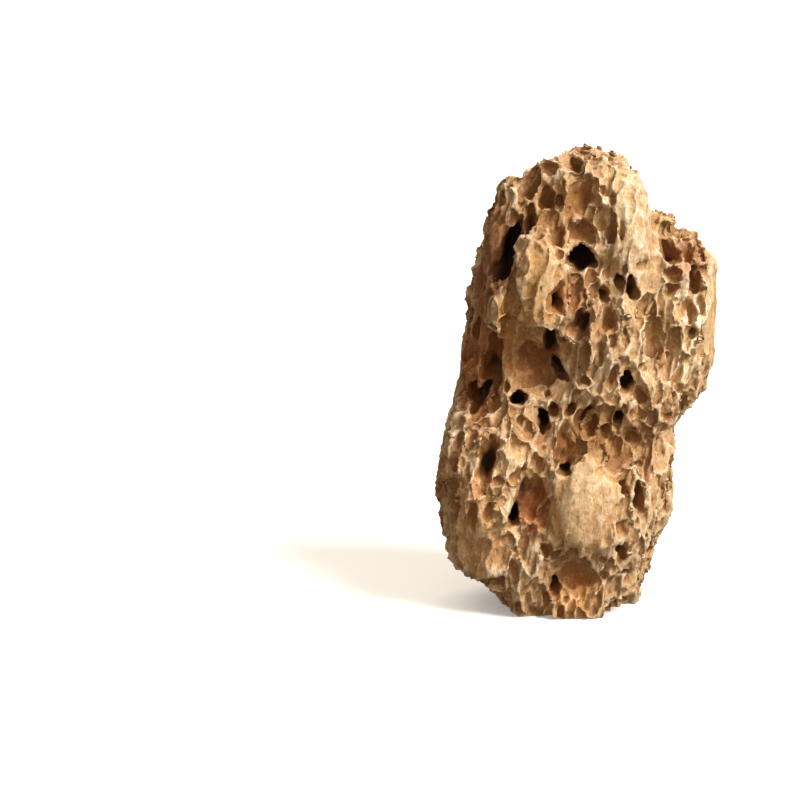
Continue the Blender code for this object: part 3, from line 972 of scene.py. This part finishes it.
def smoothed(points, ends, rounds):
    """The points after each has moved, so many times, to the middle of its neighbours."""
    first = np.concatenate([ends[:, 0], ends[:, 1]])
    second = np.concatenate([ends[:, 1], ends[:, 0]])
    count = np.bincount(first, minlength=len(points))[:, None]
    for _ in range(rounds):
        total = np.stack(
            [np.bincount(first, points[second, i], len(points)) for i in range(3)], axis=1)
        points = total / np.maximum(count, 1)
    return points


def points_of(mesh):
    points = np.empty(len(mesh.vertices) * 3)
    mesh.vertices.foreach_get("co", points)
    return points.reshape(-1, 3)


def edge_ends_of(mesh):
    ends = np.empty(len(mesh.edges) * 2, np.int32)
    mesh.edges.foreach_get("vertices", ends)
    return ends.reshape(-1, 2)


def crisp(mesh):
    """Sharpens crests and hollows by moving each point away from the middle of those round it."""
    points = points_of(mesh)
    away = (points - smoothed(points, edge_ends_of(mesh), CRISP_ROUNDS)) * CRISP
    reach = np.linalg.norm(away, axis=1, keepdims=True)
    away *= np.minimum(1, CRISP_MOST / np.maximum(reach, TINY))
    away[points[:, 2] < CRISP_FROM] = 0
    mesh.vertices.foreach_set("co", (points + away).ravel())
    mesh.update()


def write_attribute(mesh, name, values):
    attribute = mesh.attributes.new(name, "FLOAT", "POINT")
    attribute.data.foreach_set("value", np.asarray(values, np.float32))


def stain_and_shade_at(point):
    """What the stains and the patches of painted shade do to the clay's colour at a point."""
    wander = noise.fractal(grain(point, STAIN_AND_SHADE_GRAIN, STAIN_AND_SHADE_STRETCH), *STAIN_AND_SHADE_LAYERS)
    wander *= STAIN_AND_SHADE_WANDER
    colour = Vector((1, 1, 1))
    for *place, stain_and_shade, strength in STAINS_AND_SHADE:
        away = patch_distance(point, place) + wander
        if away < STAIN_AND_SHADE_EDGE[1]:
            colour = colour.lerp(Vector(stain_and_shade), strength * (1 - ramp(away, *STAIN_AND_SHADE_EDGE)))
    return colour


def mark_surface(mesh, skin):
    """Writes how each point lies: how far in from the skin, how far it stands out, its stain and
    painted shade.
    """
    points, ends = points_of(mesh), edge_ends_of(mesh)
    normals = np.empty(points.size)
    mesh.vertices.foreach_get("normal", normals)
    normals = normals.reshape(-1, 3)
    for name, rounds, reach in (
        ("crest", CREST_ROUNDS, CREST_REACH),
        ("swell", SWELL_ROUNDS, SWELL_REACH),
    ):
        out = ((points - smoothed(points, ends, rounds)) * normals).sum(axis=1) / reach
        write_attribute(mesh, name, np.clip(out, -1, 1))
    inside = [depth_in(vert.co, skin) for vert in mesh.vertices]
    write_attribute(mesh, "depth", np.array(inside) / DEPTH_UNIT)
    stains_and_shade = mesh.attributes.new("stain_and_shade", "FLOAT_COLOR", "POINT")
    for vert, value in zip(mesh.vertices, stains_and_shade.data):
        value.color = (*stain_and_shade_at(vert.co), 1)


# --- Material -------------------------------------------------------------------------------------


class Signal:
    """A shader socket that takes part in sums: each operation adds a Math node."""

    def __init__(self, shader, socket):
        self.shader = shader
        self.socket = socket

    def math(self, operation, *values):
        return self.shader.node(
            "ShaderNodeMath", {"operation": operation}, dict(enumerate(values)))

    def __add__(self, other):
        return self.math("ADD", self, other)

    def __sub__(self, other):
        return self.math("SUBTRACT", self, other)

    def __rsub__(self, other):
        return self.math("SUBTRACT", other, self)

    def __mul__(self, other):
        return self.math("MULTIPLY", self, other)

    def fade(self, fade):
        return self.between(fade.start, fade.end) * fade.strength

    def between(self, low, high):
        """0 at low, 1 at high and smooth between them, which also works downwards."""
        return self.shader.node(
            "ShaderNodeMapRange", {"interpolation_type": "SMOOTHSTEP"},
            {"Value": self, "From Min": low, "From Max": high})

    __radd__ = __add__
    __rmul__ = __mul__


class Shader:
    """A material that is wired up by calls."""

    def __init__(self, name):
        self.material = bpy.data.materials.new(name)
        self.material.use_nodes = True
        self.tree = self.material.node_tree
        self.surface = self.tree.nodes["Principled BSDF"]

    def node(self, kind, settings, values, output=0):
        """A new node with its settings made and its sockets filled, as one of its outputs."""
        node = self.tree.nodes.new(kind)
        for name, value in settings.items():
            setattr(node, name, value)
        for name, value in values.items():
            self.fill(node.inputs[name], value)
        return Signal(self, node.outputs[output])

    def fill(self, socket, value):
        if isinstance(value, Signal):
            self.tree.links.new(value.socket, socket)
        elif socket.type == "RGBA":
            socket.default_value = (*value[:3], 1)
        else:
            socket.default_value = value

    def mix(self, first, second, share, blend="MIX"):
        """Two colours mixed: the node has a socket A, B and Result for each type of data."""
        settings = {"data_type": "RGBA", "blend_type": blend}
        share_in, first_in, second_in, result = 0, 6, 7, 2
        sockets = {share_in: share, first_in: first, second_in: second}
        return self.node("ShaderNodeMix", settings, sockets, result)

    def attribute(self, name, output="Fac"):
        return self.node("ShaderNodeAttribute", {"attribute_name": name}, {}, output)

    def noise(self, place, pattern):
        size, detail, roughness = pattern
        return self.node(
            "ShaderNodeTexNoise", {},
            {"Vector": place, "Scale": 1 / size, "Detail": detail, "Roughness": roughness})


def clay_material(look):
    shader = Shader("weathered_clay")
    place = shader.node("ShaderNodeTexCoord", {}, {}, "Object")
    upright = shader.node(
        "ShaderNodeMapping", {},
        {
            "Vector": place,
            "Rotation": (0, -math.atan(GRAIN_LEAN), 0),
            "Scale": (1, 1, STREAKS_RUN),
        })
    crest = shader.attribute("crest")
    swell = shader.attribute("swell")
    depth = shader.attribute("depth")
    clouds = shader.noise(place, CLOUDS)
    hues = shader.noise(place, HUES)
    streaks = shader.noise(upright, STREAKS)
    mottle = shader.noise(place, MOTTLE)
    sand = shader.noise(upright, SAND)

    height = swell * SWELL_PART + (streaks - NOISE_MIDDLE) * STREAKS_PART
    height += (clouds - NOISE_MIDDLE) * CLOUDS_PART
    colour = shader.mix(look.hollow, look.clay, height.between(*CLAY_FROM))
    pale = height.fade(PALE_HEIGHT) + crest.fade(PALE_CREST)
    colour = shader.mix(colour, look.crest, pale.between(*PALE_FROM))
    colour = shader.mix(colour, PINKER, hues.fade(PINK), "MULTIPLY")
    colour = shader.mix(colour, YELLOWER, hues.fade(YELLOW), "MULTIPLY")
    colour = shader.mix(colour, look.crest, sand.fade(PALE_SAND))
    # Pockets darken with depth, as browner clay and as painted shade; the deepest get dirt and
    # painted shade.
    colour = shader.mix(colour, look.hollow, depth.fade(SHALLOW))
    colour = shader.mix(colour, look.deep, depth.fade(DIRT_AND_SHADE))
    colour = shader.mix(colour, SPECK, mottle.fade(SPECKS), "MULTIPLY")
    # Stains, with painted shade on the left side, in the recess and on the underside on the left.
    colour = shader.mix(colour, shader.attribute("stain_and_shade", "Color"), 1.0, "MULTIPLY")

    bump = mottle * BUMP_MOTTLE + sand * BUMP_SAND
    normal = shader.node(
        "ShaderNodeBump", {}, {"Strength": 1.0, "Distance": BUMP, "Height": bump})
    shader.fill(shader.surface.inputs["Base Color"], colour)
    shader.fill(shader.surface.inputs["Roughness"], MATTE + mottle * MATTE_MOTTLE)
    shader.fill(shader.surface.inputs["Normal"], normal)
    shader.surface.inputs["Specular IOR Level"].default_value = SHEEN
    return shader.material


def floor_material():
    shader = Shader("pale_floor")
    shader.fill(shader.surface.inputs["Base Color"], FLOOR_COLOUR)
    shader.fill(shader.surface.inputs["Roughness"], FLOOR_ROUGHNESS)
    shader.fill(shader.surface.inputs["Emission Color"], WHITE)
    shader.fill(shader.surface.inputs["Emission Strength"], FLOOR_GLOW)
    return shader.material


# --- Operators ------------------------------------------------------------------------------------


class ROCK_OT_carve(bpy.types.Operator):
    """Carve the stone and colour its clay"""

    bl_idname = "aquarium_rock.carve"
    bl_label = "Carve the stone"

    def execute(self, context):
        form = context.scene.rock_form
        rock, skin = carve(form)
        faces = sum(len(p.vertices) - 2 for p in rock.data.polygons)
        plain = rock.modifiers.new("fewer_faces", "DECIMATE")
        plain.ratio = min(form.triangles / faces, 1)
        bm = evaluated_bmesh(rock)
        rock.modifiers.clear()
        bm.to_mesh(rock.data)
        bm.free()
        crisp(rock.data)
        rock.data.shade_smooth()
        mark_surface(rock.data, skin)
        rock.data.materials.append(clay_material(context.scene.rock_look))
        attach(rock, "root")
        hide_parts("rock")
        return {"FINISHED"}


class ROCK_OT_stage(bpy.types.Operator):
    """Add the floor, the light and the camera"""

    bl_idname = "aquarium_rock.stage"
    bl_label = "Set the stage"

    def execute(self, context):
        settings = context.scene.rock_stage
        bm = bmesh.new()
        bmesh.ops.create_grid(bm, x_segments=1, y_segments=1, size=FLOOR_REACH)
        floor = new_object("floor", bm)
        floor.data.materials.append(floor_material())
        floor.visible_diffuse = False
        add_light("key", KEY_FROM, WHITE, settings.key_strength, settings.key_softness)
        add_light("fill", FILL_FROM, WARM, settings.fill_strength, settings.fill_softness)
        add_light("back", BACK_FROM, WARM, settings.back_strength, settings.back_softness)
        add_sky(settings.sky)
        add_camera(settings)
        context.scene.view_settings.view_transform = "Standard"
        return {"FINISHED"}


def add_light(name, direction, colour, strength, softness):
    """A soft light from far off."""
    light = bpy.data.lights.new(name, "SUN")
    light.color = colour
    light.angle = softness
    light.energy = strength
    lamp = bpy.data.objects.new(name, light)
    bpy.context.scene.collection.objects.link(lamp)
    aim(lamp, -direction)


def add_sky(strength):
    world = bpy.data.worlds.new("pale_room")
    world.use_nodes = True
    world.node_tree.nodes["Background"].inputs["Color"].default_value = (*WARM, 1)
    world.node_tree.nodes["Background"].inputs["Strength"].default_value = strength
    bpy.context.scene.world = world


def add_camera(settings):
    """A long lens that looks down a little, with the stone to the right of the middle."""
    sight = Vector((0, math.cos(SIGHT_TILT), -math.sin(SIGHT_TILT)))
    up = Vector((0, math.sin(SIGHT_TILT), math.cos(SIGHT_TILT)))
    camera = bpy.data.objects.new("camera", bpy.data.cameras.new("camera"))
    bpy.context.scene.collection.objects.link(camera)
    camera.data.lens = settings.lens
    camera.location = Vector((VIEW_ACROSS, 0, 0)) + up * VIEW_UP - sight * settings.distance
    aim(camera, sight)
    bpy.context.scene.camera = camera


def aim(obj, direction):
    obj.rotation_euler = direction.to_track_quat("-Z", "Y").to_euler()


class ROCK_PT_panel(bpy.types.Panel):
    """The steps in the 3D view's sidebar"""

    bl_idname = "ROCK_PT_panel"
    bl_label = "Aquarium Rock"
    bl_space_type = "VIEW_3D"
    bl_region_type = "UI"
    bl_category = "Aquarium Rock"

    def draw(self, context):
        for settings, operator in (
            ((context.scene.rock_form, context.scene.rock_look), ROCK_OT_carve),
            ((context.scene.rock_stage,), ROCK_OT_stage),
        ):
            box = self.layout.box()
            for group in settings:
                for name in group.__annotations__:
                    box.prop(group, name)
            box.operator(operator.bl_idname)


CLASSES = (RockForm, RockLook, StageSettings, ROCK_OT_carve, ROCK_OT_stage, ROCK_PT_panel)


def register():
    for cls in CLASSES:
        bpy.utils.register_class(cls)
    bpy.types.Scene.rock_form = PointerProperty(type=RockForm)
    bpy.types.Scene.rock_look = PointerProperty(type=RockLook)
    bpy.types.Scene.rock_stage = PointerProperty(type=StageSettings)


def unregister():
    del bpy.types.Scene.rock_form
    del bpy.types.Scene.rock_look
    del bpy.types.Scene.rock_stage
    for cls in reversed(CLASSES):
        bpy.utils.unregister_class(cls)


def main():
    register()
    bpy.ops.aquarium_rock.carve()
    bpy.ops.aquarium_rock.stage()


if __name__ == "__main__":
    main()
